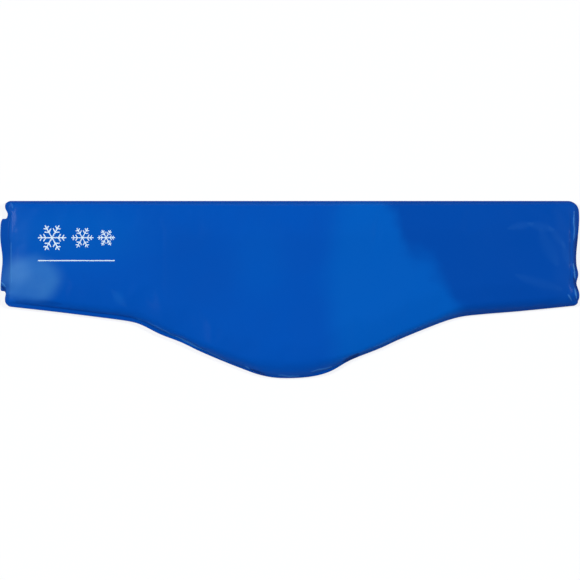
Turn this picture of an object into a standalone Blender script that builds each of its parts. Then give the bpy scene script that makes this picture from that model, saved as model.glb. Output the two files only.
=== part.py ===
"""Neck cold pack: a slab of gel between two vinyl sheets that are welded together round the rim.

The pack lies flat on its back sheet. +X runs along it, with the filling port's seal at the -X end,
+Y points to the straight edge that goes round the neck, and +Z is up. The origin is on the table,
under the middle of the pack. Lengths are in metres.
"""

import math
from collections import namedtuple

import bmesh
import bpy
import numpy as np

# Overall sizes
PACK_LENGTH = 0.584
BELLY_DEPTH = 0.179
PACK_THICKNESS = 0.018

# Sheets, weld and gel
SHEET_THICKNESS = 0.001
WELD_WIDTH = 0.0035
WELD_GAP = 0.0003
GEL_CLEARANCE = 0.0003
SEAM_HEIGHT = 0.0060
RIM_DROOP = 0.0008

# How far in from the weld the top goes on rising, and the underside comes down to the table
SHOULDER_WIDTH = 0.0285
FOOT_WIDTH = 0.0095

# How full the shoulder's curve is, how steeply it leaves the weld, and how fast puckers fade inwards
SHOULDER_FULLNESS = 2.2
WELD_STEEPNESS = 0.62
PUCKER_FADE = 1.5

# The seal of the filling port: a lip of both sheets beyond the left end
PORT_REACH = 0.0045
PORT_FROM_STRAIGHT = 0.0183
PORT_FROM_LOWER = 0.0145

# The largest corner radius, pull and lift at a gather, and hollow in the top
CORNER_RADIUS = 0.0110
GATHER_PULL = 0.0027
GATHER_LIFT = 0.0018
DENT_DEPTH = 0.0014

# The sheets' grid: lines close to the weld, as shares of FOOT_WIDTH, rows between the two shoulders,
# and the distance between columns
NEAR_WELD = (0.12, 0.42)
MIDDLE_ROWS = 5
COLUMN_SPACING = 0.0160

# along: share of PACK_LENGTH, from the left end. depth: share of BELLY_DEPTH from the straight edge to
# the lower one. fill: share of PACK_THICKNESS.
Station = namedtuple("Station", "along depth fill")
STATIONS = (
    Station(0.000, 0.592, 0.74),
    Station(0.086, 0.623, 0.80),
    Station(0.173, 0.658, 0.85),
    Station(0.222, 0.680, 0.87),
    Station(0.242, 0.698, 0.88),
    Station(0.276, 0.753, 0.90),
    Station(0.311, 0.797, 0.93),
    Station(0.345, 0.850, 0.95),
    Station(0.380, 0.899, 0.97),
    Station(0.414, 0.943, 0.99),
    Station(0.449, 0.983, 1.00),
    Station(0.483, 1.000, 1.00),
    Station(0.535, 0.993, 1.00),
    Station(0.570, 0.963, 0.99),
    Station(0.604, 0.901, 0.98),
    Station(0.656, 0.833, 0.95),
    Station(0.690, 0.782, 0.93),
    Station(0.759, 0.691, 0.89),
    Station(0.794, 0.656, 0.87),
    Station(0.828, 0.642, 0.85),
    Station(0.898, 0.623, 0.81),
    Station(1.000, 0.590, 0.75),
)

# end: -1 left, 1 right. edge: 1 straight, -1 lower. radius: share of CORNER_RADIUS.
Corner = namedtuple("Corner", "end edge radius")
CORNERS = (
    Corner(-1, 1, 0.50),
    Corner(-1, -1, 0.55),
    Corner(1, 1, 1.00),
    Corner(1, -1, 0.50),
)

# Puckers that the weld leaves in an end. down and span: shares of the depth there, from the straight
# edge. pull: share of GATHER_PULL that the rim moves in. lift: share of GATHER_LIFT that it rises.
# run: share of SHOULDER_WIDTH over which the pucker fades into the pad.
Gather = namedtuple("Gather", "end down span pull lift run")
GATHERS = (
    Gather(-1, 0.12, 0.04, 0.95, 0.6, 0.4),
    Gather(-1, 0.34, 0.09, -0.15, 0.6, 0.6),
    Gather(-1, 0.56, 0.14, 0.70, -0.5, 0.5),
    Gather(-1, 0.84, 0.07, -0.20, -0.8, 0.7),
    Gather(1, 0.20, 0.09, -0.15, 0.8, 0.6),
    Gather(1, 0.53, 0.26, 0.90, -0.6, 0.5),
    Gather(1, 0.69, 0.06, -0.20, 0.9, 0.6),
    Gather(1, 0.80, 0.05, 0.50, -0.6, 0.8),
    Gather(1, 0.90, 0.05, -0.20, 0.7, 0.6),
)

# Broad hollows in the top, and swells where the depth is below nought. along: share of PACK_LENGTH.
# down: share of the depth there, from the straight edge. length and width: shares of BELLY_DEPTH.
# depth: share of DENT_DEPTH.
Dent = namedtuple("Dent", "along down length width depth")
DENTS = (
    Dent(0.14, 0.40, 0.35, 0.22, 0.7),
    Dent(0.32, 0.60, 0.36, 0.30, 0.8),
    Dent(0.46, 0.35, 0.30, 0.26, -0.4),
    Dent(0.62, 0.45, 0.28, 0.40, 1.0),
    Dent(0.78, 0.40, 0.22, 0.25, -0.5),
    Dent(0.92, 0.50, 0.20, 0.22, 0.8),
)

# Colour and finish of the vinyl and of the gel
VINYL_BLUE = (0.002, 0.078, 0.420)
GEL_BLUE = (0.010, 0.160, 0.560)
VINYL_ROUGHNESS = 0.40
GEL_ROUGHNESS = 0.15

STRAIGHT_EDGE = BELLY_DEPTH / 2
LEFT_END = -PACK_LENGTH / 2 + PORT_REACH
RIGHT_END = PACK_LENGTH / 2

# A point of the grid: its place in plan, which end is nearer, how far down that end it is, and its
# distances from the rim before the corners and puckers bend it
Spot = namedtuple("Spot", "x y end down from_end from_straight from_lower")


def station_value(column, x):
    """A column of STATIONS at x, on a smooth curve through the table's rows."""
    places = np.array([station.along for station in STATIONS])
    values = np.array([getattr(station, column) for station in STATIONS])
    slopes = np.gradient(values, places)
    along = min(max(x / PACK_LENGTH + 0.5, 0.0), 1.0)
    k = min(max(int(np.searchsorted(places, along)) - 1, 0), len(places) - 2)
    step = places[k + 1] - places[k]
    t = (along - places[k]) / step
    from_start = (1 + 2 * t) * (1 - t) ** 2 * values[k] + t * (1 - t) ** 2 * step * slopes[k]
    from_next = t * t * (3 - 2 * t) * values[k + 1] - t * t * (1 - t) * step * slopes[k + 1]
    return float(from_start + from_next)


def depth_at(x):
    return BELLY_DEPTH * station_value("depth", x)


def rim_lines(*more):
    """How far the grid's lines lie from an edge: through the weld, the foot and the shoulder."""
    near = [WELD_WIDTH + share * FOOT_WIDTH for share in NEAR_WELD]
    return sorted([0.0, WELD_WIDTH, *near, WELD_WIDTH + FOOT_WIDTH, WELD_WIDTH + SHOULDER_WIDTH, *more])


def column_places():
    """Where the grid's columns stand along X, with the port's seal first."""
    first = LEFT_END + rim_lines()[-1]
    last = RIGHT_END - rim_lines()[-1]
    count = max(2, round((last - first) / COLUMN_SPACING))
    left = [LEFT_END + line for line in rim_lines()]
    middle = [first + (last - first) * k / count for k in range(1, count)]
    right = [RIGHT_END - line for line in reversed(rim_lines())]
    return [LEFT_END - PORT_REACH, *left, *middle, *right]


def lean_at(x):
    """How many times longer the way to the lower edge is along Y than square to that edge."""
    nudge = PACK_LENGTH / 200
    slope = (depth_at(x + nudge) - depth_at(x - nudge)) / (2 * nudge)
    return math.hypot(1.0, slope)


def rows_at(x):
    """How far the grid's rows lie from the straight edge at x, in step with the nearer edge."""
    upper = rim_lines(PORT_FROM_STRAIGHT)
    lower = [depth_at(x) - line * lean_at(x) for line in reversed(rim_lines(PORT_FROM_LOWER))]
    between = lower[0] - upper[-1]
    middle = [upper[-1] + between * k / (MIDDLE_ROWS + 1) for k in range(1, MIDDLE_ROWS + 1)]
    return [*upper, *middle, *lower]


def rounded(end, edge, from_end, from_edge):
    """Both distances of a point once the square corner beside it is bent to its radius."""
    share = next(corner.radius for corner in CORNERS if (corner.end, corner.edge) == (end, edge))
    radius = share * CORNER_RADIUS
    a = radius - from_end
    b = radius - from_edge
    if from_end < 0 or a <= 0 or b <= 0:
        return from_end, from_edge
    bent_a = a * math.sqrt(1 - b * b / (2 * radius * radius))
    bent_b = b * math.sqrt(1 - a * a / (2 * radius * radius))
    return radius - bent_a, radius - bent_b


def gathered(column, end, down, from_end):
    """The sum of a column of GATHERS at a point, fading from the rim into the pad."""
    total = 0.0
    for gather in GATHERS:
        if gather.end == end:
            reach = WELD_WIDTH + gather.run * SHOULDER_WIDTH
            fade = min(max(1 - from_end / reach, 0.0), 1.0) ** PUCKER_FADE
            wave = math.exp(-(((down - gather.down) / gather.span) ** 2))
            total += getattr(gather, column) * wave * fade
    return total


def spot_at(x, from_straight):
    """The point of the grid at x, so far from the straight edge, once corners and puckers bend it."""
    depth = depth_at(x)
    from_lower = (depth - from_straight) / lean_at(x)
    end = -1 if x < 0 else 1
    edge = 1 if from_straight < from_lower else -1
    from_end = RIGHT_END - x if end > 0 else x - LEFT_END
    from_edge = min(from_straight, from_lower)
    down = from_straight / depth
    pull = GATHER_PULL * gathered("pull", end, down, from_end) * min(1.0, from_edge / WELD_WIDTH)
    bent_end, bent_edge = rounded(end, edge, from_end, from_edge)
    place_x = RIGHT_END - bent_end - pull if end > 0 else LEFT_END + bent_end + pull
    place_y = STRAIGHT_EDGE - (bent_edge if edge > 0 else depth - bent_edge * lean_at(x))
    return Spot(place_x, place_y, end, down, from_end, from_straight, from_lower)


def bulge(distance, width):
    """0 on the weld, steep beside it and 1 from width inwards."""
    t = min(max((distance - WELD_WIDTH) / width, 0.0), 1.0)
    return (1 - (1 - t) ** SHOULDER_FULLNESS) ** WELD_STEEPNESS


def bulge_at(spot, width):
    return bulge(spot.from_end, width) * bulge(spot.from_straight, width) * bulge(spot.from_lower, width)


def rim_lift(spot):
    """How far droop and puckers move the rim up or down."""
    nearest = min(spot.from_end, spot.from_straight, spot.from_lower)
    outwards = 1 - min(max(nearest / WELD_WIDTH, 0.0), 1.0)
    return GATHER_LIFT * gathered("lift", spot.end, spot.down, spot.from_end) - RIM_DROOP * outwards


def dent_at(spot):
    total = 0.0
    for dent in DENTS:
        away = (spot.x / PACK_LENGTH + 0.5 - dent.along) * PACK_LENGTH / (dent.length * BELLY_DEPTH)
        aside = (spot.down - dent.down) * depth_at(spot.x) / (dent.width * BELLY_DEPTH)
        total += dent.depth * math.exp(-away * away - aside * aside)
    return DENT_DEPTH * total


def hollow_top(spot):
    """Height of the front sheet's inner face."""
    seam = SEAM_HEIGHT + WELD_GAP / 2
    crest = PACK_THICKNESS * station_value("fill", spot.x) - SHEET_THICKNESS - dent_at(spot)
    return seam + (crest - seam) * bulge_at(spot, SHOULDER_WIDTH) + rim_lift(spot)


def hollow_bottom(spot):
    """Height of the back sheet's inner face, which is level where the pack lies on the table."""
    seam = SEAM_HEIGHT - WELD_GAP / 2 + rim_lift(spot)
    return seam + (SHEET_THICKNESS - seam) * bulge_at(spot, FOOT_WIDTH)


def pack_surface(rim_cells):
    """A flat grid in the pack's plan, and a function that gives the spot of each vertex.

    It starts as a square of side 1, and leaves out so many cells all round its rim.
    """
    columns = [[spot_at(x, row) for row in rows_at(x)] for x in column_places()]
    last_column = len(columns) - 1
    last_row = len(columns[0]) - 1
    port_rows = range(
        rim_lines(PORT_FROM_STRAIGHT).index(PORT_FROM_STRAIGHT),
        last_row - rim_lines(PORT_FROM_LOWER).index(PORT_FROM_LOWER),
    )
    surface = bmesh.new()
    bmesh.ops.create_grid(surface, x_segments=last_column, y_segments=last_row, size=0.5)
    column_of = surface.verts.layers.int.new("column")
    row_of = surface.verts.layers.int.new("row")
    for vert in surface.verts:
        vert[column_of] = round((0.5 + vert.co.x) * last_column)
        vert[row_of] = round((0.5 - vert.co.y) * last_row)
        spot = columns[vert[column_of]][vert[row_of]]
        vert.co = (spot.x, spot.y, 0.0)
    left_out = []
    for face in surface.faces:
        column = min(vert[column_of] for vert in face.verts)
        row = min(vert[row_of] for vert in face.verts)
        beside_port = column == 0 and row not in port_rows
        in_columns = rim_cells < column < last_column - rim_cells
        in_rows = rim_cells <= row < last_row - rim_cells
        if beside_port or (rim_cells and not (in_columns and in_rows)):
            left_out.append(face)
    bmesh.ops.delete(surface, geom=left_out, context="FACES")
    bmesh.ops.triangulate(surface, faces=surface.faces[:], quad_method="SHORT_EDGE")
    return surface, lambda vert: columns[vert[column_of]][vert[row_of]]


def material(name, colour, roughness):
    made = bpy.data.materials.new(name)
    made.use_nodes = True
    shader = made.node_tree.nodes["Principled BSDF"]
    shader.inputs["Base Color"].default_value = (*colour, 1.0)
    shader.inputs["Roughness"].default_value = roughness
    shader.inputs["Metallic"].default_value = 0.0
    made.diffuse_color = (*colour, 1.0)
    return made


def make_node(name, shape, finish, collection):
    """Turns a bmesh into the named object."""
    mesh = bpy.data.meshes.new(name)
    shape.to_mesh(mesh)
    shape.free()
    mesh.materials.append(finish)
    mesh.shade_smooth()
    made = bpy.data.objects.new(name, mesh)
    collection.objects.link(made)
    return made


def make_sheet(name, height, faces_up, collection):
    """A vinyl sheet: its inner face on the hollow, made thicker outwards."""
    surface, spot_of = pack_surface(rim_cells=0)
    for vert in surface.verts:
        vert.co.z = height(spot_of(vert))
    if not faces_up:
        bmesh.ops.reverse_faces(surface, faces=surface.faces[:])
    vinyl = material(f"{name}_vinyl", VINYL_BLUE, VINYL_ROUGHNESS)
    sheet = make_node(name, surface, vinyl, collection)
    wall = sheet.modifiers.new("wall", "SOLIDIFY")
    wall.thickness = SHEET_THICKNESS
    wall.offset = 1.0
    wall.use_even_offset = True
    return sheet


def make_gel(collection):
    """The gel: it fills the hollow to its clearance, and ends just inside the weld."""
    slab, spot_of = pack_surface(rim_cells=2)
    top = bmesh.ops.extrude_face_region(slab, geom=slab.faces[:], use_keep_orig=True)["geom"]
    top_verts = {item for item in top if isinstance(item, bmesh.types.BMVert)}
    for vert in slab.verts:
        height = hollow_top if vert in top_verts else hollow_bottom
        vert.co.z = height(spot_of(vert))
    bmesh.ops.recalc_face_normals(slab, faces=slab.faces[:])
    slab.normal_update()
    shrunk = [vert.co - vert.normal * vert.calc_shell_factor() * GEL_CLEARANCE for vert in slab.verts]
    for vert, place in zip(slab.verts, shrunk):
        vert.co = place
    return make_node("gel_fill", slab, material("gel", GEL_BLUE, GEL_ROUGHNESS), collection)


def main():
    for old in list(bpy.data.objects):
        bpy.data.objects.remove(old)
    pack = bpy.data.collections.new("neck_cold_pack")
    bpy.context.scene.collection.children.link(pack)
    make_sheet("front_sheet", hollow_top, True, pack)
    make_sheet("back_sheet", hollow_bottom, False, pack)
    make_gel(pack)


main()
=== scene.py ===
import math

import bpy
import numpy as np
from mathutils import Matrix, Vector
from mathutils.bvhtree import BVHTree


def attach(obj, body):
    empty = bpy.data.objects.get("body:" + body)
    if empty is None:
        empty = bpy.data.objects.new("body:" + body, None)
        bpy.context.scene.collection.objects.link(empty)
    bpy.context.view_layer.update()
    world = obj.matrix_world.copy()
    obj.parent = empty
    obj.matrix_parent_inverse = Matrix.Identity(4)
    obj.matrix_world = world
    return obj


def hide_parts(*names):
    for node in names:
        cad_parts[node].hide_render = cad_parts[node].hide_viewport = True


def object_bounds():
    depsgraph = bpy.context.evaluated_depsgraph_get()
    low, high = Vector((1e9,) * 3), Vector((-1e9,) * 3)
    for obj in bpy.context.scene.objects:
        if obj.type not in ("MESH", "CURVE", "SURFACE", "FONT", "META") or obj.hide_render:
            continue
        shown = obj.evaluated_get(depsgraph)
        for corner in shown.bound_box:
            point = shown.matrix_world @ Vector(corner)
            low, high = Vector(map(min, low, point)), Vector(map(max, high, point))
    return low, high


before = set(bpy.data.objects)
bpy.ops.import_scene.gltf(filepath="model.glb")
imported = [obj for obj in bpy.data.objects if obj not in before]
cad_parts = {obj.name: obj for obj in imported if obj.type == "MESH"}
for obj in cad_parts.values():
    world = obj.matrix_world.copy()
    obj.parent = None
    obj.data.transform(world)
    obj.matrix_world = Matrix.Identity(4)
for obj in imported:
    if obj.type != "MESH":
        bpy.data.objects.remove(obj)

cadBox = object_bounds()
scene = bpy.context.scene
print("stage: frame loaded")


# Camera, straight above the pack, as in the photo

shot = {
    "lens": 120.0,
    "sensor": 36.0,
    "imageSize": 580,                  # pixels, both ways
    "packPixels": 579.4,               # how many of them the pack's length takes
    "centrePixel": (289.7, 289.65),
    "rimHeight": 0.006,
}


def placeCamera():
    length = cadBox[1].x - cadBox[0].x
    metresPerPixel = length / shot["packPixels"]
    frameWidth = metresPerPixel * shot["imageSize"]
    distance = frameWidth * shot["lens"] / shot["sensor"]
    middle = shot["imageSize"] / 2
    right = (middle - shot["centrePixel"][0]) * metresPerPixel
    down = (middle - shot["centrePixel"][1]) * metresPerPixel
    data = bpy.data.cameras.new("camera")
    data.lens = shot["lens"]
    data.sensor_width = shot["sensor"]
    data.clip_end = 50.0
    camera = bpy.data.objects.new("camera", data)
    scene.collection.objects.link(camera)
    centre = (cadBox[0] + cadBox[1]) / 2
    camera.location = (centre.x + right, centre.y - down, shot["rimHeight"] + distance)
    scene.camera = camera


placeCamera()
print("stage: camera")


# Floor and light

studio = {
    "floorSize": 30.0,
    "floorColour": (0.20, 0.20, 0.20),
    "floorGlow": 0.80,                 # a light table: the pack's shadow is all but washed out
    "skyForCamera": (1.0, 1.0, 1.0),
    "skyForLight": (0.02, 0.07, 0.16),
    # name: strength, angular size, azimuth from +X and elevation in degrees, colour
    "suns": {
        "leftKey": (2.35, 12, 165, 44, (1.0, 0.99, 0.98)),
        "rightFill": (1.95, 12, 15, 42, (1.0, 1.0, 1.0)),
    },
    # name: power, size, place
    "panels": {
        "hazePanel": (0.6, (0.5, 0.5), (-0.95, -0.35, 1.9)),
    },
}


def lampObject(name, kind):
    data = bpy.data.lights.new(name, kind)
    lamp = bpy.data.objects.new(name, data)
    scene.collection.objects.link(lamp)
    lamp.visible_camera = False
    return lamp


def addFloor():
    bpy.ops.object.select_all(action="DESELECT")
    bpy.ops.mesh.primitive_plane_add(size=studio["floorSize"])
    floor = bpy.context.object
    floor.name = "floor"
    paint = bpy.data.materials.new("paleFloor")
    paint.use_nodes = True
    shader = paint.node_tree.nodes["Principled BSDF"]
    shader.inputs["Base Color"].default_value = (*studio["floorColour"], 1)
    shader.inputs["Emission Color"].default_value = (1, 1, 1, 1)
    shader.inputs["Emission Strength"].default_value = studio["floorGlow"]
    shader.inputs["Roughness"].default_value = 0.9
    shader.inputs["Specular IOR Level"].default_value = 0.1
    floor.data.materials.append(paint)
    floor.visible_glossy = False       # the white floor doesn't shine in the vinyl's sides


def addLights():
    for name, (strength, size, azimuth, elevation, colour) in studio["suns"].items():
        sun = lampObject(name, "SUN")
        sun.data.energy = strength
        sun.data.angle = math.radians(size)
        sun.data.color = colour
        around, up = math.radians(azimuth), math.radians(elevation)
        towards = Vector((math.cos(around) * math.cos(up), math.sin(around) * math.cos(up), math.sin(up)))
        sun.location = towards * 3
        sun.rotation_euler = towards.to_track_quat("Z", "Y").to_euler()
    for name, (power, size, place) in studio["panels"].items():
        panel = lampObject(name, "AREA")
        panel.data.energy = power
        panel.data.shape = "RECTANGLE"
        panel.data.size, panel.data.size_y = size
        panel.location = place
        panel.rotation_euler = Vector(place).to_track_quat("Z", "Y").to_euler()


def addSky():
    world = bpy.data.worlds.new("studioWorld")
    scene.world = world
    world.use_nodes = True
    tree = world.node_tree
    path = tree.nodes.new("ShaderNodeLightPath")
    choose = tree.nodes.new("ShaderNodeMix")
    choose.data_type = "RGBA"
    choose.inputs["A"].default_value = (*studio["skyForLight"], 1)
    choose.inputs["B"].default_value = (*studio["skyForCamera"], 1)
    tree.links.new(path.outputs["Is Camera Ray"], choose.inputs["Factor"])
    tree.links.new(choose.outputs["Result"], tree.nodes["Background"].inputs["Color"])


addFloor()
addLights()
addSky()
scene.view_settings.view_transform = "Standard"
scene.view_settings.look = "None"
print("stage: floor and light")


# The vinyl cover: both sheets as one closed skin, with the welded rim and the filling port's seal

cover = {
    "length": 0.584,
    "depth": 0.179,
    "thickness": 0.018,
    "filmThickness": 0.0010,           # both films, welded
    "seamHeight": 0.0060,
    "gelClearance": 0.00035,
    "portReach": 0.0045,
    "portFromStraight": 0.0183,
    "portFromLower": 0.0145,
    "portCells": 3,
    "domeWidth": 0.040,                # from the weld to where the slow dome of the top is level
    "footWidth": 0.0095,
    "footPower": 2.2,
    "footSteepness": 0.62,
    "weldWidth": 0.0035,
    "cornerRadius": 0.0110,
    "pullReach": 0.012,                # how far in the rim's pulls and kinks are felt
    # how far the rim's lines are from the edge
    "rimLines": (0, 0.0006, 0.0014, 0.0023, 0.0032, 0.0041, 0.0050, 0.0059, 0.0069, 0.0080, 0.0092,
                 0.0106, 0.0124, 0.0148, 0.0180, 0.0224, 0.0276),
    "middleRows": 24,
    "columnWidth": 0.0033,
    # along the length from the left end: depth from the straight edge to the lower, and fill
    "stations": (
        (0.000, 0.592, 0.74), (0.086, 0.623, 0.80), (0.173, 0.658, 0.85), (0.222, 0.680, 0.87),
        (0.242, 0.698, 0.88), (0.276, 0.753, 0.90), (0.311, 0.797, 0.93), (0.345, 0.850, 0.95),
        (0.380, 0.899, 0.97), (0.414, 0.943, 0.99), (0.449, 0.983, 1.00), (0.483, 1.000, 1.00),
        (0.535, 0.993, 1.00), (0.570, 0.963, 0.99), (0.604, 0.901, 0.98), (0.656, 0.833, 0.95),
        (0.690, 0.782, 0.93), (0.759, 0.691, 0.89), (0.794, 0.656, 0.87), (0.828, 0.642, 0.85),
        (0.898, 0.623, 0.81), (1.000, 0.590, 0.75),
    ),
    # end (-1 left, 1 right), edge (1 straight, -1 lower), share of the corner radius
    "corners": ((-1, 1, 0.50), (-1, -1, 0.55), (1, 1, 1.00), (1, -1, 0.50)),
    # along the length, then for the lower rim there: width and droop of the flat flange, width of the
    # steep side, its share of the rise to the crest, and how steeply it starts (1 gently, 0.5 steeply)
    "lowerRim": (
        (0.00, 0.0042, 0.0003, 0.0090, 0.50, 0.85), (0.20, 0.0042, 0.0003, 0.0090, 0.50, 0.85),
        (0.27, 0.0036, 0.0006, 0.0090, 0.48, 0.85), (0.33, 0.0034, 0.0007, 0.0065, 0.44, 0.80),
        (0.37, 0.0022, 0.0014, 0.0100, 0.62, 0.90), (0.43, 0.0022, 0.0016, 0.0130, 0.72, 0.95),
        (0.48, 0.0020, 0.0014, 0.0180, 0.86, 1.00), (0.53, 0.0020, 0.0015, 0.0175, 0.84, 1.00),
        (0.56, 0.0030, 0.0012, 0.0140, 0.78, 0.95), (0.60, 0.0020, 0.0024, 0.0060, 0.46, 0.80),
        (0.68, 0.0020, 0.0024, 0.0060, 0.46, 0.80), (0.75, 0.0020, 0.0022, 0.0070, 0.55, 0.85),
        (0.80, 0.0020, 0.0021, 0.0110, 0.88, 0.95), (1.00, 0.0020, 0.0021, 0.0110, 0.88, 0.95),
    ),
    "straightRim": (0.0018, 0.0030, 0.0055, 0.44, 0.80),
    "leftRim": (0.0036, 0.0002, 0.0120, 0.50, 1.25),
    "rightRim": (0.0026, 0.0018, 0.0070, 0.60, 0.85),
    # end, how far down that end, half width, how far the rim moves in, how far it lifts
    "gathers": (
        (-1, 0.0130, 0.0036, 0.0028, 0.0010), (-1, 0.0166, 0.0020, 0.0020, 0.0000),
        (-1, 0.0360, 0.0090, -0.0004, 0.0008), (-1, 0.0600, 0.0140, 0.0018, -0.0008),
        (-1, 0.0846, 0.0020, 0.0000, 0.0016), (-1, 0.0885, 0.0026, -0.0005, -0.0022),
        (-1, 0.0940, 0.0022, 0.0010, 0.0012), (-1, 0.1000, 0.0030, 0.0000, 0.0006),
        (1, 0.0190, 0.0090, -0.0004, 0.0010), (1, 0.0580, 0.0200, 0.0024, -0.0014),
        (1, 0.0730, 0.0050, -0.0008, 0.0016), (1, 0.0835, 0.0042, 0.0022, -0.0016),
        (1, 0.0955, 0.0045, -0.0006, 0.0014), (1, 0.1020, 0.0025, 0.0006, -0.0008),
    ),
    # fine ridges and grooves along an end: end, how far down, half length, from the end, half width, height
    "ridges": (
        (1, 0.0255, 0.0150, 0.0052, 0.0014, 0.0009), (1, 0.0730, 0.0065, 0.0064, 0.0014, 0.0010),
        (1, 0.0940, 0.0036, 0.0048, 0.0014, 0.0012), (1, 0.0965, 0.0034, 0.0102, 0.0013, 0.0008),
        (1, 0.0400, 0.0380, 0.0090, 0.0016, -0.0006), (1, 0.0830, 0.0045, 0.0070, 0.0025, -0.0009),
        (-1, 0.0600, 0.0160, 0.0066, 0.0016, 0.0003), (-1, 0.0050, 0.0035, 0.0075, 0.0013, 0.0004),
    ),
    # share of the length, share of the depth, length, width, and depth of broad hollows in the top
    "dents": (
        (0.14, 0.40, 0.063, 0.039, 0.0010), (0.32, 0.60, 0.064, 0.054, 0.0011),
        (0.46, 0.35, 0.054, 0.047, -0.0006), (0.62, 0.45, 0.050, 0.072, 0.0014),
        (0.78, 0.40, 0.039, 0.045, -0.0007), (0.92, 0.50, 0.036, 0.039, 0.0011),
    ),
}
straightEdge = cover["depth"] / 2
leftEnd = -cover["length"] / 2 + cover["portReach"]
rightEnd = cover["length"] / 2


def between(rows, place, column):
    # one column of a table at a place, on a smooth curve through its rows
    places = [row[0] for row in rows]
    place = min(max(place, places[0]), places[-1])
    k = max(j for j in range(len(places) - 1) if places[j] <= place)

    def slope(j):
        before, after = max(j - 1, 0), min(j + 1, len(rows) - 1)
        return (rows[after][column] - rows[before][column]) / (places[after] - places[before])

    step = places[k + 1] - places[k]
    t = (place - places[k]) / step
    return ((1 + 2 * t) * (1 - t) ** 2 * rows[k][column] + t * (1 - t) ** 2 * step * slope(k)
            + t * t * (3 - 2 * t) * rows[k + 1][column] - t * t * (1 - t) * step * slope(k + 1))


def profile(distance, width, power, steepness):
    t = min(max(distance / width, 0.0), 1.0)
    return (1 - (1 - t) ** power) ** steepness


class Column:
    # a line of the cover's grid across the pack
    def __init__(self, x):
        self.x = x
        self.along = x / cover["length"] + 0.5
        self.depth = self.depthAt(x)
        nudge = 0.003
        slope = (self.depthAt(x + nudge) - self.depthAt(x - nudge)) / (2 * nudge)
        self.lean = math.hypot(1.0, slope)       # the way to the lower edge along Y, against square to it
        self.end = -1 if x < 0 else 1
        self.fromEnd = rightEnd - x if self.end > 0 else x - leftEnd
        self.crest = cover["thickness"] * between(cover["stations"], self.along, 2)
        self.lowerRim = [between(cover["lowerRim"], self.along, k) for k in range(1, 6)]
        self.endRim = cover["leftRim"] if self.end < 0 else cover["rightRim"]

    def depthAt(self, x):
        return cover["depth"] * between(cover["stations"], x / cover["length"] + 0.5, 1)

    def rows(self):
        # how far down from the straight edge the grid's rows lie
        lines = cover["rimLines"]
        lower = [self.depth - line * self.lean for line in reversed(lines)]
        count = cover["middleRows"] + 1
        gap = lower[0] - lines[-1]
        return [*lines, *[lines[-1] + gap * k / count for k in range(1, count)], *lower]


def columnPlaces():
    lines = cover["rimLines"]
    first, last = leftEnd + lines[-1], rightEnd - lines[-1]
    count = round((last - first) / cover["columnWidth"])
    port = [leftEnd - cover["portReach"] * (1 - k / cover["portCells"]) for k in range(cover["portCells"])]
    middle = [first + (last - first) * k / count for k in range(1, count)]
    left = [leftEnd + line for line in lines]
    right = [rightEnd - line for line in reversed(lines)]
    return [*port, *left, *middle, *right]


def rounded(end, edge, fromEnd, fromEdge):
    # both distances once the square corner beside them is bent to its radius
    share = next(row[2] for row in cover["corners"] if row[:2] == (end, edge))
    radius = share * cover["cornerRadius"]
    a, b = radius - fromEnd, radius - fromEdge
    if fromEnd < 0 or a <= 0 or b <= 0:
        return fromEnd, fromEdge
    return (radius - a * math.sqrt(1 - b * b / (2 * radius * radius)),
            radius - b * math.sqrt(1 - a * a / (2 * radius * radius)))


def gathered(kind, end, down, fromEnd):
    fade = min(max(1 - fromEnd / cover["pullReach"], 0.0), 1.0) ** 1.5
    if fade == 0:
        return 0.0
    return fade * sum(row[kind] * math.exp(-((down - row[1]) / row[2]) ** 2)
                      for row in cover["gathers"] if row[0] == end)


class Spot:
    # a point of the cover's grid in plan, with its distances from the rim
    def __init__(self, column, row):
        self.column = column
        self.down = row
        self.fromLower = (column.depth - row) / column.lean
        self.sides = ((row, cover["straightRim"]), (self.fromLower, column.lowerRim),
                      (column.fromEnd, column.endRim))
        edge = 1 if row < self.fromLower else -1
        fromEdge = min(row, self.fromLower)
        pull = gathered(3, column.end, row, column.fromEnd) * min(1.0, fromEdge / cover["weldWidth"])
        bentEnd, bentEdge = rounded(column.end, edge, column.fromEnd, fromEdge)
        self.x = rightEnd - bentEnd - pull if column.end > 0 else leftEnd + bentEnd + pull
        self.y = straightEdge - (bentEdge if edge > 0 else column.depth - bentEdge * column.lean)

    def bulge(self):
        # 0 on the weld and 1 at the crest: a steep side first, then a slow dome
        total = 1.0
        for distance, (flange, droop, width, share, steepness) in self.sides:
            side = profile(distance - flange, width, 2.0, steepness)
            dome = profile(distance - flange, cover["domeWidth"], 2.0, 1.0)
            total *= share * side + (1 - share) * dome
        return total

    def weldShare(self):
        return max(min(max(1 - (distance - rim[0]) / 0.002, 0.0), 1.0) for distance, rim in self.sides)

    def rimLift(self):
        lift = gathered(4, self.column.end, self.down, self.column.fromEnd)
        droop = max(rim[1] * (1 - min(max(distance / rim[0], 0.0), 1.0)) for distance, rim in self.sides)
        return lift - droop

    def ridge(self):
        return sum(height * math.exp(-((self.down - down) / length) ** 2
                                     - ((self.column.fromEnd - inwards) / width) ** 2)
                   for end, down, length, inwards, width, height in cover["ridges"]
                   if end == self.column.end and self.column.fromEnd < 0.03)

    def dent(self):
        total = 0.0
        for along, down, length, width, depth in cover["dents"]:
            away = (self.column.along - along) * cover["length"] / length
            aside = (self.down - down * self.column.depth) / width
            total += depth * math.exp(-away * away - aside * aside)
        return total

    def topHeight(self):
        weld = cover["seamHeight"] + cover["filmThickness"] / 2
        return weld + (self.column.crest - self.dent() - weld) * self.bulge() + self.rimLift() + self.ridge()

    def bottomHeight(self):
        weld = cover["seamHeight"] - cover["filmThickness"] / 2 + self.rimLift()
        down = 1.0
        for distance in (self.down, self.fromLower, self.column.fromEnd):
            down *= profile(distance - cover["weldWidth"], cover["footWidth"],
                            cover["footPower"], cover["footSteepness"])
        return weld * (1 - down)


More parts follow.
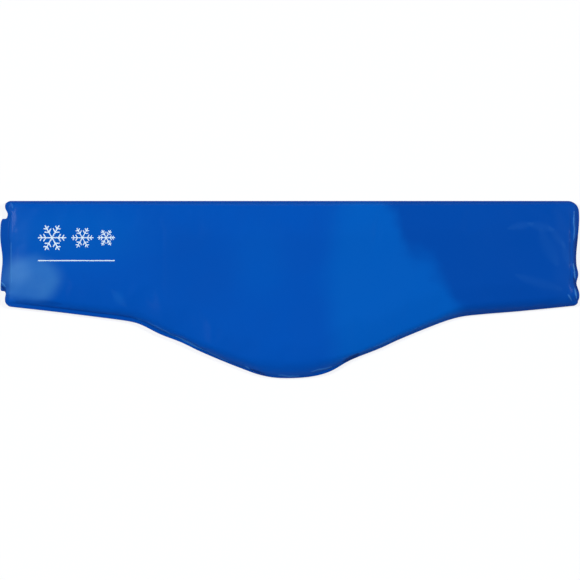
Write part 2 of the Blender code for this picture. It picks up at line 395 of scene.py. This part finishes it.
def selectNothing(mesh):
    scene.tool_settings.mesh_select_mode = (False, False, True)
    for parts in (mesh.vertices, mesh.edges, mesh.polygons):
        parts.foreach_set("select", [False] * len(parts))


def makeCover():
    columns = [Column(x) for x in columnPlaces()]
    spots = [[Spot(column, row) for row in column.rows()] for column in columns]
    columnCount, rowCount = len(spots), len(spots[0])
    bpy.ops.object.select_all(action="DESELECT")
    bpy.ops.mesh.primitive_grid_add(x_subdivisions=columnCount - 1, y_subdivisions=rowCount - 1, size=1)
    piece = bpy.context.object
    piece.name = piece.data.name = "vinyl_cover"
    mesh = piece.data
    spotOf = []
    for vert in mesh.vertices:
        column = round((0.5 + vert.co.x) * (columnCount - 1))
        row = round((0.5 - vert.co.y) * (rowCount - 1))
        spotOf.append(spots[column][row])
    # the grid beside the port's seal is cut away
    lowest = columns[cover["portCells"]].depth - cover["portFromLower"]
    selectNothing(mesh)
    for face in mesh.polygons:
        around = [spotOf[v] for v in face.vertices]
        down = sum(spot.down for spot in around) / 4
        beyondEnd = min(spot.column.fromEnd for spot in around) < -1e-6
        face.select = beyondEnd and not cover["portFromStraight"] < down < lowest
    number = mesh.attributes.new("number", "INT", "POINT")
    number.data.foreach_set("value", list(range(len(spotOf))))
    bpy.ops.object.mode_set(mode="EDIT")
    bpy.ops.mesh.delete(type="FACE")
    bpy.ops.object.mode_set(mode="OBJECT")
    spotOf = [spotOf[item.value] for item in mesh.attributes["number"].data]
    mesh.attributes.remove(mesh.attributes["number"])
    # the lower side, then both sides are bent to the pack's form
    wall = piece.modifiers.new("lowerSide", "SOLIDIFY")
    wall.thickness = cover["filmThickness"]
    wall.offset = -1
    bpy.ops.object.modifier_apply(modifier=wall.name)
    half = len(spotOf)
    for k, vert in enumerate(mesh.vertices):
        spot = spotOf[k % half]
        vert.co = (spot.x, spot.y, spot.topHeight() if k < half else spot.bottomHeight())
    return piece, spotOf


vinylCover, coverSpots = makeCover()
print("stage: cover,", len(vinylCover.data.polygons), "faces")


# Soft wrinkles: a copy of the cover is blown up with its weld and its underside held, and the cover's
# top takes over the small waves that this leaves, not the swelling

wrinkles = {
    "frames": 20,
    "pressure": 4.0,
    "growth": 0.012,                   # how much larger the film wants to be
    "mostMove": 0.003,
    "blurSteps": 40,
    "share": 0.35,
    "mostWave": 0.0004,
}


def neighbourMean(values, edges, count, steps):
    degree = np.bincount(edges.ravel(), minlength=count).astype(float)
    for step in range(steps):
        total = np.bincount(edges[:, 0], values[edges[:, 1]], count) + np.bincount(
            edges[:, 1], values[edges[:, 0]], count)
        values = 0.5 * values + 0.5 * total / degree
    return values


def addWrinkles(piece, spotOf):
    half = len(spotOf)
    bpy.ops.object.select_all(action="DESELECT")
    piece.select_set(True)
    bpy.context.view_layer.objects.active = piece
    bpy.ops.object.duplicate()
    blown = bpy.context.object
    blown.name = "blownCopy"
    held = blown.vertex_groups.new(name="held")
    for k in range(2 * half):
        weight = 1.0 if k >= half else spotOf[k].weldShare()
        held.add([k], weight, "REPLACE")
    cloth = blown.modifiers.new("cloth", "CLOTH")
    film = cloth.settings
    film.quality = 5
    film.mass = 0.4
    film.tension_stiffness = film.compression_stiffness = 25
    film.shear_stiffness = 8
    film.bending_stiffness = 0.6
    film.use_pressure = True
    film.uniform_pressure_force = wrinkles["pressure"]
    film.vertex_group_mass = "held"
    film.pin_stiffness = 1.0
    film.shrink_min = -wrinkles["growth"]
    film.effector_weights.gravity = 0
    cloth.point_cache.frame_start = 1
    cloth.point_cache.frame_end = wrinkles["frames"]
    before = np.array([vert.co for vert in blown.data.vertices])
    for number in range(1, wrinkles["frames"] + 1):
        scene.frame_set(number)
    bpy.ops.object.modifier_apply(modifier=cloth.name)
    after = np.array([vert.co for vert in blown.data.vertices])
    edges = np.array([edge.vertices[:] for edge in blown.data.edges])
    bpy.data.objects.remove(blown)
    scene.frame_set(1)
    move = np.clip(after - before, -wrinkles["mostMove"], wrinkles["mostMove"])[:, 2]
    wave = move - neighbourMean(move, edges, 2 * half, wrinkles["blurSteps"])
    wave = np.clip(wave * wrinkles["share"], -wrinkles["mostWave"], wrinkles["mostWave"])
    for k in range(half):
        free = 1 - spotOf[k].weldShare()
        piece.data.vertices[k].co.z += wave[k] * free
    print("stage: wrinkles, largest", round(float(np.abs(wave).max()) * 1000, 2), "mm, typical",
          round(float(np.abs(wave).mean()) * 1000, 3), "mm")


addWrinkles(vinylCover, coverSpots)


def clearOfGel(piece, spotOf):
    # the film lies on the gel and never in it
    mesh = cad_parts["gel_fill"].data
    gel = BVHTree.FromPolygons([v.co.copy() for v in mesh.vertices], [p.vertices[:] for p in mesh.polygons])
    lifted = 0
    half = len(spotOf)
    for k, vert in enumerate(piece.data.vertices):
        up = 1 if k < half else -1
        hit = gel.ray_cast(Vector((vert.co.x, vert.co.y, up)), Vector((0, 0, -up)))[0]
        if hit:
            least = hit.z + up * cover["gelClearance"]
            if up * (vert.co.z - least) < 0:
                vert.co.z = max(least, 0.0)
                lifted += 1
    print("stage: film clear of the gel,", lifted, "points moved")


clearOfGel(vinylCover, coverSpots)


def finishCover(piece, spotOf):
    half = len(spotOf)
    weld = piece.data.attributes.new("weld", "FLOAT", "POINT")
    weld.data.foreach_set("value", [spotOf[k % half].weldShare() for k in range(2 * half)])
    bpy.ops.object.select_all(action="DESELECT")
    piece.select_set(True)
    bpy.context.view_layer.objects.active = piece
    smooth = piece.modifiers.new("smooth", "SUBSURF")
    smooth.levels = smooth.render_levels = 1
    bpy.ops.object.modifier_apply(modifier=smooth.name)
    bpy.ops.object.shade_smooth()


finishCover(vinylCover, coverSpots)
print("stage: cover finished,", len(vinylCover.data.polygons), "faces")


# Finishes. Groups give colours, masks and heights; the shaders stay in the materials.

def addNode(tree, kind, inputs=(), **settings):
    node = tree.nodes.new(kind)
    for name, value in settings.items():
        setattr(node, name, value)
    for name, value in dict(inputs).items():
        if isinstance(value, bpy.types.NodeSocket):
            tree.links.new(value, node.inputs[name])
        else:
            node.inputs[name].default_value = value
    return node


def sums(tree, operation, first, second=0.0, third=0.0):
    return addNode(tree, "ShaderNodeMath", {0: first, 1: second, 2: third}, operation=operation).outputs[0]


def vectorSums(tree, operation, first, second=(0, 0, 0)):
    node = addNode(tree, "ShaderNodeVectorMath", {0: first, 1: second}, operation=operation)
    return node.outputs["Value"] if operation in ("LENGTH", "DOT_PRODUCT") else node.outputs["Vector"]


def hypotenuse(tree, first, second):
    return sums(tree, "SQRT", sums(tree, "ADD", sums(tree, "MULTIPLY", first, first),
                                   sums(tree, "MULTIPLY", second, second)))


def ramp(tree, value, low, high, toLow=0.0, toHigh=1.0):
    return addNode(tree, "ShaderNodeMapRange", {"Value": value, "From Min": low, "From Max": high,
                                                "To Min": toLow, "To Max": toHigh},
                   interpolation_type="SMOOTHSTEP").outputs["Result"]


def blend(tree, share, first, second):
    # the colour sockets of the Mix node are its seventh and eighth inputs
    node = tree.nodes.new("ShaderNodeMix")
    node.data_type = "RGBA"
    for socket, value in ((node.inputs[0], share), (node.inputs[6], first), (node.inputs[7], second)):
        if isinstance(value, bpy.types.NodeSocket):
            tree.links.new(value, socket)
        else:
            socket.default_value = value if isinstance(value, float) else (*value, 1)
    return node.outputs[2]


def newGroup(name, inputs, outputs):
    group = bpy.data.node_groups.new(name, "ShaderNodeTree")
    for label, kind, value in inputs:
        socket = group.interface.new_socket(name=label, in_out="INPUT", socket_type=kind)
        socket.default_value = value
    for label, kind in outputs:
        group.interface.new_socket(name=label, in_out="OUTPUT", socket_type=kind)
    return group, group.nodes.new("NodeGroupInput").outputs, group.nodes.new("NodeGroupOutput").inputs


def useGroup(tree, group, inputs):
    node = tree.nodes.new("ShaderNodeGroup")
    node.node_tree = group
    for name, value in inputs.items():
        if isinstance(value, bpy.types.NodeSocket):
            tree.links.new(value, node.inputs[name])
        else:
            node.inputs[name].default_value = value
    return node.outputs


def softPatchGroup():
    # an oval mask, 1 in its middle and 0 beyond its edge, with a wavy border
    group, given, made = newGroup(
        "softPatch",
        (("Place", "NodeSocketVector", (0, 0, 0)), ("Middle", "NodeSocketVector", (0, 0, 0)),
         ("Reach", "NodeSocketVector", (0.1, 0.1, 1)), ("Softness", "NodeSocketFloat", 0.5),
         ("Waviness", "NodeSocketFloat", 0.15)),
        (("Mask", "NodeSocketFloat"),))
    away = vectorSums(group, "SUBTRACT", given["Place"], given["Middle"])
    flat = vectorSums(group, "MULTIPLY", vectorSums(group, "DIVIDE", away, given["Reach"]), (1, 1, 0))
    noise = addNode(group, "ShaderNodeTexNoise", {"Vector": given["Place"], "Scale": 22.0, "Detail": 2.0})
    wave = sums(group, "MULTIPLY", sums(group, "SUBTRACT", noise.outputs["Fac"], 0.5), given["Waviness"])
    far = sums(group, "ADD", vectorSums(group, "LENGTH", flat), wave)
    inner = sums(group, "SUBTRACT", 1.0, given["Softness"])
    mask = addNode(group, "ShaderNodeMapRange", {"Value": far, "From Min": 1.0, "From Max": inner},
                   interpolation_type="SMOOTHERSTEP").outputs["Result"]
    group.links.new(mask, made["Mask"])
    return group


def filmGrainGroup():
    # the calendered film: a fine leathery grain and slow unevenness
    group, given, made = newGroup(
        "filmGrain",
        (("Place", "NodeSocketVector", (0, 0, 0)), ("Grain Size", "NodeSocketFloat", 0.0012)),
        (("Height", "NodeSocketFloat"), ("Mottle", "NodeSocketFloat")))
    scale = sums(group, "DIVIDE", 1.0, given["Grain Size"])
    cells = addNode(group, "ShaderNodeTexVoronoi", {"Vector": given["Place"], "Scale": scale},
                    feature="SMOOTH_F1")
    fine = addNode(group, "ShaderNodeTexNoise", {"Vector": given["Place"], "Scale": scale, "Detail": 3.0})
    slow = addNode(group, "ShaderNodeTexNoise", {"Vector": given["Place"], "Scale": 30.0, "Detail": 3.0})
    height = sums(group, "ADD", sums(group, "MULTIPLY", cells.outputs["Distance"], 0.6), fine.outputs["Fac"])
    group.links.new(height, made["Height"])
    group.links.new(slow.outputs["Fac"], made["Mottle"])
    return group


def snowflakeGroup():
    # a six-armed flake: the plane is folded into one half arm, with two twigs on it
    group, given, made = newGroup(
        "snowflake",
        (("Place", "NodeSocketVector", (0, 0, 0)), ("Middle", "NodeSocketVector", (0, 0, 0)),
         ("Radius", "NodeSocketFloat", 0.01), ("Line", "NodeSocketFloat", 0.08)),
        (("Mask", "NodeSocketFloat"),))
    away = vectorSums(group, "SUBTRACT", given["Place"], given["Middle"])
    parts = addNode(group, "ShaderNodeSeparateXYZ", {"Vector": away}).outputs
    x = sums(group, "DIVIDE", parts["X"], given["Radius"])
    y = sums(group, "DIVIDE", parts["Y"], given["Radius"])
    reach = hypotenuse(group, x, y)
    angle = sums(group, "ARCTAN2", y, x)
    folded = sums(group, "PINGPONG", sums(group, "ADD", angle, math.tau), math.pi / 6)
    along = sums(group, "MULTIPLY", reach, sums(group, "COSINE", folded))
    aside = sums(group, "MULTIPLY", reach, sums(group, "SINE", folded))
    soft = sums(group, "MULTIPLY", given["Line"], 0.35)

    def stroke(start, turn, length):
        # a straight stroke that leaves the arm at start, turned by so much
        fromStart = sums(group, "SUBTRACT", along, start)
        onward = sums(group, "ADD", sums(group, "MULTIPLY", fromStart, math.cos(turn)),
                      sums(group, "MULTIPLY", aside, math.sin(turn)))
        across = sums(group, "SUBTRACT", sums(group, "MULTIPLY", aside, math.cos(turn)),
                      sums(group, "MULTIPLY", fromStart, math.sin(turn)))
        past = sums(group, "MAXIMUM", sums(group, "SUBTRACT", onward, length),
                    sums(group, "MULTIPLY", onward, -1.0))
        past = sums(group, "MAXIMUM", past, 0.0)
        return sums(group, "SUBTRACT", hypotenuse(group, across, past), given["Line"])

    nearest = stroke(0.0, 0.0, 0.92)
    for start, length in ((0.42, 0.26), (0.68, 0.20)):
        nearest = sums(group, "MINIMUM", nearest, stroke(start, math.radians(58), length))
    edge = sums(group, "DIVIDE", nearest, soft)
    mask = addNode(group, "ShaderNodeMapRange", {"Value": edge, "From Min": 1.0, "From Max": -1.0},
                   interpolation_type="SMOOTHSTEP").outputs["Result"]
    group.links.new(mask, made["Mask"])
    return group


def foldLineGroup():
    # a straight crease between two points, widest in its middle
    group, given, made = newGroup(
        "foldLine",
        (("Place", "NodeSocketVector", (0, 0, 0)), ("Start", "NodeSocketVector", (0, 0, 0)),
         ("End", "NodeSocketVector", (0.1, 0, 0)), ("Half Width", "NodeSocketFloat", 0.001)),
        (("Mask", "NodeSocketFloat"),))
    flat = vectorSums(group, "MULTIPLY", given["Place"], (1, 1, 0))
    away = vectorSums(group, "SUBTRACT", flat, given["Start"])
    line = vectorSums(group, "SUBTRACT", given["End"], given["Start"])
    share = sums(group, "DIVIDE", vectorSums(group, "DOT_PRODUCT", away, line),
                 vectorSums(group, "DOT_PRODUCT", line, line))
    share = addNode(group, "ShaderNodeClamp", {"Value": share}).outputs[0]
    nearest = addNode(group, "ShaderNodeVectorMath", {0: line, "Scale": share}, operation="SCALE").outputs[0]
    far = vectorSums(group, "LENGTH", vectorSums(group, "SUBTRACT", away, nearest))
    middle = sums(group, "MULTIPLY", sums(group, "MULTIPLY", share, sums(group, "SUBTRACT", 1.0, share)), 4.0)
    width = sums(group, "MULTIPLY", given["Half Width"],
                 sums(group, "ADD", sums(group, "MULTIPLY", middle, 0.65), 0.35))
    mask = addNode(group, "ShaderNodeMapRange", {"Value": far, "From Min": width, "From Max": 0.0},
                   interpolation_type="SMOOTHERSTEP").outputs["Result"]
    group.links.new(mask, made["Mask"])
    return group


softPatch = softPatchGroup()
filmGrain = filmGrainGroup()
snowflake = snowflakeGroup()
foldLine = foldLineGroup()


vinylLook = {
    "blue": (0.0004, 0.080, 0.424),
    # paintedLightBlue: painted light, the lighter tone of slopes that face the lamps
    "paintedLightBlue": (0.0004, 0.104, 0.462),
    # mottleAndShadeBlue: the film's random mottle, and painted shade in the broad patches
    "mottleAndShadeBlue": (0.0004, 0.0620, 0.350),
    # the next two: a painted highlight, the soft haze of a lamp's reflection at the left end
    "hazeHighlightBlue": (0.048, 0.215, 0.530),
    "paleHighlightBlue": (0.085, 0.260, 0.590),
    # rimShadeBlue: painted shade along the welded rim and in a few darker bands
    "rimShadeBlue": (0.0004, 0.044, 0.275),
    # wearAndHighlight: a painted highlight along crests and creases (the name also holds the print's wear in
    # printMask)
    "wearAndHighlight": (0.060, 0.260, 0.620),
    "shade": (0.0004, 0.026, 0.180),
    "printWhite": (0.80, 0.88, 0.93),
    "roughness": (0.37, 0.43),         # the smoother and the rougher parts of the film
    "weldRoughness": 0.30,
    "hazeRoughness": 0.55,
    "scuffedRoughness": 0.62,
    "sheenOfLight": (0.45, 0.90, 1.0),
    "specular": 0.10,
    "coat": 0.12,
    "scuffedEnds": (0.262, 0.276, 0.12),   # from where to where the gloss fades, and what is left
    "coatRoughness": 0.16,
    "grainSize": 0.0011,
    "grainHeight": 0.00003,
    "inkHeight": 0.00002,
    "weldShade": 0.45,
    "ruffleScale": 85.0,               # how fine and how far the creases wander
    "ruffleReach": (0.003, 0.003, 0.0),
    "creasesAbove": (0.0028, 0.0042),  # creases and print are on the upper side only
    "printAbove": (0.0080, 0.0090),
    "waviness": (0.15, 0.55),          # of the broad patches' borders, and of the haze's
    # middle, reach, softness, share, and colour of the broad patches, in this order. They are painted light
    # and painted shade: lighter and darker tone where the top's gentle slopes would catch or miss the lamps,
    # and a painted highlight, the haze of a lamp's reflection, at the left end
    "patches": (
        ((0.125, 0.000), (0.105, 0.200), 0.35, 0.85, "paintedLightBlue"),
        ((-0.030, 0.030), (0.045, 0.060), 0.90, 0.25, "paintedLightBlue"),
        ((-0.095, 0.020), (0.060, 0.070), 0.80, 0.20, "mottleAndShadeBlue"),
        ((0.4603, 0.2559), (0.4145, 0.4145), 0.07, 0.95, "mottleAndShadeBlue"),
        ((0.235, 0.000), (0.070, 0.022), 0.90, 0.10, "rimShadeBlue"),
        ((-0.172, -0.008), (0.009, 0.010), 0.90, 0.35, "paintedLightBlue"),
        ((-0.215, 0.055), (0.110, 0.050), 0.90, 0.60, "paintedLightBlue"),
        ((-0.2628, 0.0104), (0.044, 0.029), 0.55, 0.52, "hazeHighlightBlue"),
        ((-0.2749, 0.0189), (0.024, 0.024), 0.95, 0.40, "paleHighlightBlue"),
    ),
    # creases: start, end, half width, height, and share and colour of the tone along it. The tone is painted
    # light: a painted highlight along a crest or crease, or painted shade in a groove and along the lower
    # left rim
    "folds": (
        ((0.2868, 0.0784), (0.2862, 0.0492), 0.0016, 0.0003, 0.55, "wearAndHighlight"),
        ((0.2858, 0.026), (0.2872, 0.0089), 0.0016, 0.0004, 0.8, "wearAndHighlight"),
        ((0.2872, 0.0008), (0.289, -0.0093), 0.0016, 0.0004, 0.8, "wearAndHighlight"),
        ((0.28, -0.0053), (0.2841, -0.0113), 0.0015, 0.0003, 0.45, "wearAndHighlight"),
        ((0.2896, 0.0542), (0.2886, 0.0189), 0.004, -0.0004, 0.85, "shade"),
        ((0.2861, 0.0109), (0.2906, -0.0012), 0.0032, -0.0005, 0.85, "shade"),
        ((0.2828, 0.0784), (0.282, 0.0058), 0.0016, -0.0002, 0.2, "shade"),
        ((-0.2811, 0.0472), (-0.2813, 0.0068), 0.002, 0.0002, 0.3, "wearAndHighlight"),
        ((-0.2904, 0.0028), (-0.2874, -0.0017), 0.0032, -0.0006, 0.9, "shade"),
        ((-0.2916, 0.0072), (-0.2872, 0.003), 0.0013, 0.0004, 0.7, "wearAndHighlight"),
        ((-0.2817, 0.0875), (-0.2797, 0.0819), 0.0018, 0.0002, 0.3, "wearAndHighlight"),
        ((-0.1428, -0.033), (-0.1136, -0.0482), 0.0016, 0.0002, 0.25, "wearAndHighlight"),
        ((-0.1156, -0.0474), (-0.0884, -0.0601), 0.0016, 0.0003, 0.5, "wearAndHighlight"),
        ((-0.0914, -0.0585), (-0.0622, -0.0728), 0.0015, 0.0002, 0.25, "wearAndHighlight"),
        ((-0.0451, -0.0778), (-0.041, -0.0798), 0.0014, 0.0002, 0.5, "wearAndHighlight"),
        ((-0.039, -0.0809), (-0.0239, -0.0874), 0.0024, -0.0003, 0.75, "shade"),
        ((-0.0118, -0.0869), (0.0094, -0.0873), 0.0018, 0.0003, 0.35, "wearAndHighlight"),
        ((0.0215, -0.0831), (0.0426, -0.0778), 0.0017, 0.0003, 0.4, "wearAndHighlight"),
        ((0.0537, -0.0733), (0.0699, -0.0652), 0.0034, -0.0005, 0.85, "shade"),
        ((0.085, -0.0582), (0.1051, -0.0496), 0.0016, 0.0002, 0.15, "wearAndHighlight"),
        ((-0.2759, -0.0118), (-0.2295, -0.0143), 0.0045, 0.0, 0.35, "rimShadeBlue"),
        ((0.22, 0.0613), (0.2442, 0.0663), 0.0067, 0.0, 0.050, "wearAndHighlight"),
        ((0.2402, 0.0663), (0.2644, 0.0603), 0.0075, 0.0, 0.050, "wearAndHighlight"),
        ((0.2614, 0.0623), (0.2765, 0.0431), 0.0067, 0.0, 0.040, "wearAndHighlight"),
        ((0.2745, 0.0472), (0.2815, 0.024), 0.0060, 0.0, 0.040, "wearAndHighlight"),
        ((0.2523, 0.0593), (0.2684, 0.026), 0.0120, 0.0, 0.040, "wearAndHighlight"),
        ((0.2281, 0.0139), (0.2725, -0.0002), 0.0090, 0.0, 0.040, "wearAndHighlight"),
        ((-0.1791, -0.0012), (-0.165, -0.0163), 0.0075, 0.0, 0.050, "wearAndHighlight"),
    ),
    # middle and radius of the printed flakes, and where the print's thin line runs
    "flakes": (((-0.2390, 0.0520), 0.0150), ((-0.2085, 0.0520), 0.0118), ((-0.1845, 0.0520), 0.0092)),
    "flakeLine": 0.036,                # a flake's line against its radius, and the least it may be
    "flakeThinnest": 0.00044,
    "printLine": (-0.2535, -0.1755, 0.0290, 0.0005),
}


def printMask(tree, place):
    mask = 0.0
    for (x, y), radius in vinylLook["flakes"]:
        flake = useGroup(tree, snowflake, {"Place": place, "Middle": (x, y, 0), "Radius": radius,
                                           "Line": max(vinylLook["flakeLine"],
                                                       vinylLook["flakeThinnest"] / radius)})["Mask"]
        mask = sums(tree, "MAXIMUM", flake, mask)
    left, right, height, thick = vinylLook["printLine"]
    parts = addNode(tree, "ShaderNodeSeparateXYZ", {"Vector": place}).outputs
    off = sums(tree, "ABSOLUTE", sums(tree, "SUBTRACT", parts["Y"], height))
    outside = sums(tree, "ABSOLUTE", sums(tree, "SUBTRACT", parts["X"], (left + right) / 2))
    line = sums(tree, "MULTIPLY", ramp(tree, off, thick * 1.4, thick * 0.6),
                ramp(tree, outside, (right - left) / 2, (right - left) / 2 - 0.0006))
    above = ramp(tree, parts["Z"], *vinylLook["printAbove"])
    # the print is worn away in spots
    wearAndHighlight = addNode(tree, "ShaderNodeTexNoise", {"Vector": place, "Scale": 420.0, "Detail": 4.0})
    whole = ramp(tree, wearAndHighlight.outputs["Fac"], 0.30, 0.42, 0.55, 1.0)
    mask = sums(tree, "MULTIPLY", sums(tree, "MAXIMUM", mask, line), above)
    return sums(tree, "MULTIPLY", mask, whole)


def makeVinyl():
    vinyl = bpy.data.materials.new("satinVinyl")
    vinyl.use_nodes = True
    tree = vinyl.node_tree
    shader = tree.nodes["Principled BSDF"]
    shader.inputs["Specular IOR Level"].default_value = vinylLook["specular"]
    shader.inputs["Specular Tint"].default_value = (*vinylLook["sheenOfLight"], 1)
    shader.inputs["Coat Roughness"].default_value = vinylLook["coatRoughness"]
    shader.inputs["Coat Tint"].default_value = (*vinylLook["sheenOfLight"], 1)
    place = addNode(tree, "ShaderNodeTexCoord").outputs["Object"]
    weld = addNode(tree, "ShaderNodeAttribute", attribute_name="weld").outputs["Fac"]
    grain = useGroup(tree, filmGrain, {"Place": place, "Grain Size": vinylLook["grainSize"]})
    colour = blend(tree, ramp(tree, grain["Mottle"], 0.35, 0.65, 0.0, 0.12), vinylLook["blue"],
                   vinylLook["mottleAndShadeBlue"])
    # paintedHaze: the mask of the painted highlight at the left end; it also makes the film rougher and takes
    # away the coat there
    paintedHaze = 0.0
    # broad patches of painted light and painted shade; the haze patches are a painted highlight
    for (x, y), (wide, deep), softness, share, name in vinylLook["patches"]:
        isHaze = name in ("hazeHighlightBlue", "paleHighlightBlue")
        mask = useGroup(tree, softPatch, {"Place": place, "Middle": (x, y, 0), "Reach": (wide, deep, 1),
                                          "Softness": softness,
                                          "Waviness": vinylLook["waviness"][isHaze]})["Mask"]
        mask = sums(tree, "MULTIPLY", mask, share)
        if isHaze:
            mask = sums(tree, "MULTIPLY", mask, ramp(tree, grain["Mottle"], 0.3, 0.7, 0.85, 1.15))
            paintedHaze = sums(tree, "MAXIMUM", mask, paintedHaze)
        colour = blend(tree, mask, colour, vinylLook[name])
    # painted shade along the welded rim: the weld is darkened in colour
    colour = blend(tree, sums(tree, "MULTIPLY", weld, vinylLook["weldShade"]), colour, vinylLook["rimShadeBlue"])
    parts = addNode(tree, "ShaderNodeSeparateXYZ", {"Vector": place}).outputs
    above = ramp(tree, parts["Z"], *vinylLook["creasesAbove"])
    # the creases run a little unevenly
    ruffle = addNode(tree, "ShaderNodeTexNoise",
                     {"Vector": place, "Scale": vinylLook["ruffleScale"], "Detail": 2.0})
    ruffle = vectorSums(tree, "SUBTRACT", ruffle.outputs["Color"], (0.5, 0.5, 0.5))
    ruffle = vectorSums(tree, "MULTIPLY", ruffle, vinylLook["ruffleReach"])
    bent = vectorSums(tree, "ADD", place, ruffle)
    creases = 0.0
    # each crease paints a highlight or shade along it, besides its bump
    for start, end, halfWidth, height, share, name in vinylLook["folds"]:
        mask = useGroup(tree, foldLine, {"Place": bent, "Start": (*start, 0), "End": (*end, 0),
                                         "Half Width": halfWidth})["Mask"]
        mask = sums(tree, "MULTIPLY", mask, above)
        colour = blend(tree, sums(tree, "MULTIPLY", mask, share), colour, vinylLook[name])
        creases = sums(tree, "MULTIPLY_ADD", mask, height, creases)
    ink = printMask(tree, place)
    colour = blend(tree, ink, colour, vinylLook["printWhite"])
    tree.links.new(colour, shader.inputs["Base Color"])
    fromMiddle = sums(tree, "ABSOLUTE", parts["X"])
    inner, outer, left = vinylLook["scuffedEnds"]
    scuffed = ramp(tree, fromMiddle, inner, outer)
    rough = ramp(tree, grain["Mottle"], 0.3, 0.7, *vinylLook["roughness"])
    rough = addNode(tree, "ShaderNodeMapRange", {"Value": weld, "To Min": rough,
                                                 "To Max": vinylLook["weldRoughness"]}).outputs["Result"]
    rough = addNode(tree, "ShaderNodeMapRange", {"Value": paintedHaze, "To Min": rough,
                                                 "To Max": vinylLook["hazeRoughness"]}).outputs["Result"]
    rough = addNode(tree, "ShaderNodeMapRange", {"Value": scuffed, "To Min": rough,
                                                 "To Max": vinylLook["scuffedRoughness"]}).outputs["Result"]
    tree.links.new(rough, shader.inputs["Roughness"])
    coat = addNode(tree, "ShaderNodeMapRange", {"Value": paintedHaze, "To Min": vinylLook["coat"], "To Max": 0.0})
    coat = sums(tree, "MULTIPLY", coat.outputs["Result"], ramp(tree, scuffed, 0.0, 1.0, 1.0, left))
    tree.links.new(coat, shader.inputs["Coat Weight"])
    height = sums(tree, "ADD", sums(tree, "MULTIPLY", grain["Height"], vinylLook["grainHeight"]),
                  sums(tree, "MULTIPLY", ink, vinylLook["inkHeight"]))
    height = sums(tree, "ADD", height, creases)
    bump = addNode(tree, "ShaderNodeBump", {"Height": height, "Distance": 1.0, "Strength": 0.6})
    tree.links.new(bump.outputs["Normal"], shader.inputs["Normal"])
    return vinyl


gelLook = {
    "clear": (0.010, 0.160, 0.560),
    "dense": (0.004, 0.090, 0.420),
    "roughness": (0.084, 0.192),
    "cloudScale": 45.0,
    "unevenness": 0.0008,
}


def makeGel():
    gel = bpy.data.materials.new("wetGel")
    gel.use_nodes = True
    tree = gel.node_tree
    shader = tree.nodes["Principled BSDF"]
    place = addNode(tree, "ShaderNodeTexCoord").outputs["Object"]
    clouds = addNode(tree, "ShaderNodeTexNoise",
                     {"Vector": place, "Scale": gelLook["cloudScale"], "Detail": 4.0})
    share = ramp(tree, clouds.outputs["Fac"], 0.3, 0.7)
    tree.links.new(blend(tree, share, gelLook["clear"], gelLook["dense"]), shader.inputs["Base Color"])
    rough = ramp(tree, clouds.outputs["Fac"], 0.2, 0.8, *gelLook["roughness"])
    tree.links.new(rough, shader.inputs["Roughness"])
    bump = addNode(tree, "ShaderNodeBump",
                   {"Height": clouds.outputs["Fac"], "Distance": gelLook["unevenness"]})
    tree.links.new(bump.outputs["Normal"], shader.inputs["Normal"])
    return gel


vinylCover.data.materials.clear()
vinylCover.data.materials.append(makeVinyl())
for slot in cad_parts["gel_fill"].material_slots:
    slot.material = makeGel()
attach(vinylCover, "root")
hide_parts("front_sheet", "back_sheet")
print("stage: finishes")
